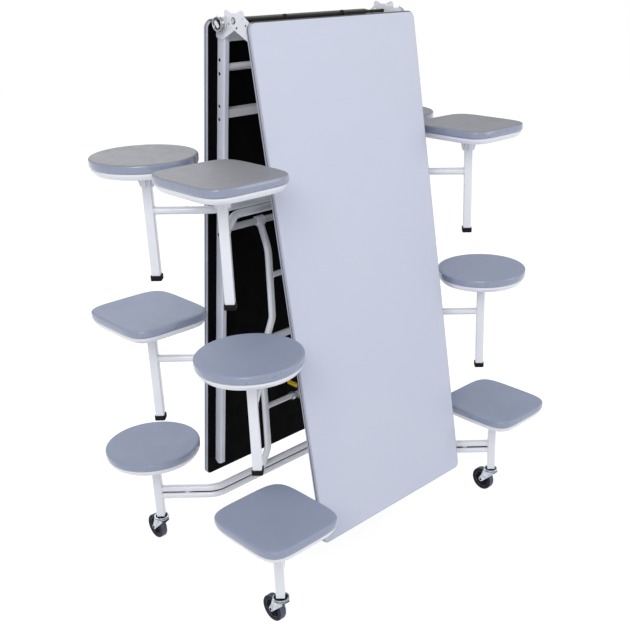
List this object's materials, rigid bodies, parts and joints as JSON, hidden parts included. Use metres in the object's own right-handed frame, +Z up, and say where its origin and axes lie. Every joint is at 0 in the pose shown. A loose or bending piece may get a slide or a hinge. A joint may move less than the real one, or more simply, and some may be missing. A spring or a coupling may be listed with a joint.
{
  "type": "folding table with stools",
  "caption": "Mobile folding dining table with attached stools on pivoting frames, folded upright in an A shape on swivel casters.",
  "frame": {"origin": "on the floor under the middle of the folded table", "axes": "+Z up, +X along the table tops' width towards the picture's right, +Y from the front top to the back top"},
  "size_m": [1.556, 1.117, 2.0638],
  "materials": {
    "laminate": "pale grey laminate on a board, satin",
    "frame": "cool white powder coat, satin",
    "seat": "blue-grey moulded plastic, low gloss",
    "rubber": "black, matt",
    "zinc": "bright zinc plate",
    "dark_steel": "black, low gloss",
    "wheel": "dark grey tread, matt",
    "yellow": "yellow paint with a dipped grip"
  },
  "bodies": {
    "centre": {"centre_axle": "dark_steel"},
    "front_leaf": {"table_top_front": "laminate", "head_rail_front": "frame", "cross_rail_front": "frame", "side_rail_front_left": "frame", "side_rail_front_right": "frame", "hinge_plate_front_left": "frame", "hinge_plate_front_right": "frame", "pivot_bar_front_upper": "frame", "pivot_bar_front_middle": "frame", "pivot_bar_front_lower": "frame", "hinge_spring_right": "dark_steel"},
    "stools_front_upper": {"stool_frame_front_upper": "frame", "seat_front_upper_left": "seat", "seat_front_upper_right": "seat", "foot_front_upper_left": "rubber", "foot_front_upper_right": "rubber"},
    "stools_front_middle": {"stool_frame_front_middle": "frame", "seat_front_middle_left": "seat", "seat_front_middle_right": "seat", "foot_front_middle_left": "rubber", "foot_front_middle_right": "rubber"},
    "stools_front_lower": {"stool_frame_front_lower": "frame", "seat_front_lower_left": "seat", "seat_front_lower_right": "seat"},
    "level_rod_front": {"level_rod_front": "zinc"},
    "caster_front_left": {"caster_fork_front_left": "zinc"},
    "wheel_front_left": {"caster_wheel_front_left": "wheel"},
    "caster_front_right": {"caster_fork_front_right": "zinc"},
    "wheel_front_right": {"caster_wheel_front_right": "wheel"},
    "back_leaf": {"table_top_back": "laminate", "head_rail_back": "frame", "cross_rail_back": "frame", "side_rail_back_left": "frame", "side_rail_back_right": "frame", "hinge_plate_back_left": "frame", "hinge_plate_back_right": "frame", "pivot_bar_back_upper": "frame", "pivot_bar_back_middle": "frame", "pivot_bar_back_lower": "frame", "hinge_spring_left": "dark_steel"},
    "stools_back_upper": {"stool_frame_back_upper": "frame", "seat_back_upper_left": "seat", "seat_back_upper_right": "seat", "foot_back_upper_left": "rubber", "foot_back_upper_right": "rubber"},
    "stools_back_middle": {"stool_frame_back_middle": "frame", "seat_back_middle_left": "seat", "seat_back_middle_right": "seat", "foot_back_middle_left": "rubber", "foot_back_middle_right": "rubber"},
    "stools_back_lower": {"stool_frame_back_lower": "frame", "seat_back_lower_left": "seat", "seat_back_lower_right": "seat"},
    "level_rod_back": {"level_rod_back": "zinc"},
    "caster_back_left": {"caster_fork_back_left": "zinc"},
    "wheel_back_left": {"caster_wheel_back_left": "wheel"},
    "caster_back_right": {"caster_fork_back_right": "zinc"},
    "wheel_back_right": {"caster_wheel_back_right": "wheel"},
    "lock": {"lock_hook": "yellow"}
  },
  "joints": [
    {"name": "front_fold", "type": "hinge", "parent": "centre", "child": "front_leaf", "pos_m": [0, 0, 2.03091], "axis": [-1, 0, 0], "range_deg": [0, 82]},
    {"name": "back_fold", "type": "hinge", "parent": "centre", "child": "back_leaf", "pos_m": [0, 0, 2.03091], "axis": [1, 0, 0], "range_deg": [0, 82]},
    {"name": "front_upper_stool_pivot", "type": "hinge", "parent": "front_leaf", "child": "stools_front_upper", "pos_m": [0, -0.09419, 1.87661], "axis": [1, 0, 0], "range_deg": [0, 82]},
    {"name": "front_middle_stool_pivot", "type": "hinge", "parent": "front_leaf", "child": "stools_front_middle", "pos_m": [0, -0.17561, 1.29731], "axis": [1, 0, 0], "range_deg": [0, 82]},
    {"name": "front_lower_stool_pivot", "type": "hinge", "parent": "front_leaf", "child": "stools_front_lower", "pos_m": [0, -0.25702, 0.718], "axis": [1, 0, 0], "range_deg": [0, 82]},
    {"name": "front_rod_pivot", "type": "hinge", "parent": "centre", "child": "level_rod_front", "pos_m": [0, 0.035, 1.99291], "axis": [-1, 0, 0], "range_deg": [0, 82]},
    {"name": "front_left_caster_swivel", "type": "hinge", "parent": "stools_front_lower", "child": "caster_front_left", "pos_m": [-0.598, -0.37502, 0.116], "axis": [0, 0, 1], "continuous": true},
    {"name": "front_left_wheel_roll", "type": "hinge", "parent": "caster_front_left", "child": "wheel_front_left", "pos_m": [-0.598, -0.33502, 0.05], "axis": [1, 0, 0], "continuous": true},
    {"name": "front_right_caster_swivel", "type": "hinge", "parent": "stools_front_lower", "child": "caster_front_right", "pos_m": [0.598, -0.37502, 0.116], "axis": [0, 0, 1], "continuous": true},
    {"name": "front_right_wheel_roll", "type": "hinge", "parent": "caster_front_right", "child": "wheel_front_right", "pos_m": [0.598, -0.33502, 0.05], "axis": [1, 0, 0], "continuous": true},
    {"name": "back_upper_stool_pivot", "type": "hinge", "parent": "back_leaf", "child": "stools_back_upper", "pos_m": [0, 0.09419, 1.87661], "axis": [-1, 0, 0], "range_deg": [0, 82]},
    {"name": "back_middle_stool_pivot", "type": "hinge", "parent": "back_leaf", "child": "stools_back_middle", "pos_m": [0, 0.17561, 1.29731], "axis": [-1, 0, 0], "range_deg": [0, 82]},
    {"name": "back_lower_stool_pivot", "type": "hinge", "parent": "back_leaf", "child": "stools_back_lower", "pos_m": [0, 0.25702, 0.718], "axis": [-1, 0, 0], "range_deg": [0, 82]},
    {"name": "back_rod_pivot", "type": "hinge", "parent": "centre", "child": "level_rod_back", "pos_m": [0, -0.035, 1.99291], "axis": [1, 0, 0], "range_deg": [0, 82]},
    {"name": "back_left_caster_swivel", "type": "hinge", "parent": "stools_back_lower", "child": "caster_back_left", "pos_m": [-0.598, 0.37502, 0.116], "axis": [0, 0, 1], "continuous": true},
    {"name": "back_left_wheel_roll", "type": "hinge", "parent": "caster_back_left", "child": "wheel_back_left", "pos_m": [-0.598, 0.41502, 0.05], "axis": [1, 0, 0], "continuous": true},
    {"name": "back_right_caster_swivel", "type": "hinge", "parent": "stools_back_lower", "child": "caster_back_right", "pos_m": [0.598, 0.37502, 0.116], "axis": [0, 0, 1], "continuous": true},
    {"name": "back_right_wheel_roll", "type": "hinge", "parent": "caster_back_right", "child": "wheel_back_right", "pos_m": [0.598, 0.41502, 0.05], "axis": [1, 0, 0], "continuous": true},
    {"name": "lock_lift", "type": "hinge", "parent": "stools_back_lower", "child": "lock", "pos_m": [-0.06, 0.16402, 0.53], "axis": [-1, 0, 0], "range_deg": [0, 35]}
  ],
  "couplings": [
    {"joint": "back_fold", "follows": "front_fold", "ratio": 1},
    {"joint": "front_upper_stool_pivot", "follows": "front_fold", "ratio": 1},
    {"joint": "front_middle_stool_pivot", "follows": "front_fold", "ratio": 1},
    {"joint": "front_lower_stool_pivot", "follows": "front_fold", "ratio": 1},
    {"joint": "front_rod_pivot", "follows": "front_fold", "ratio": 1},
    {"joint": "back_upper_stool_pivot", "follows": "front_fold", "ratio": 1},
    {"joint": "back_middle_stool_pivot", "follows": "front_fold", "ratio": 1},
    {"joint": "back_lower_stool_pivot", "follows": "front_fold", "ratio": 1},
    {"joint": "back_rod_pivot", "follows": "front_fold", "ratio": 1}
  ]
}
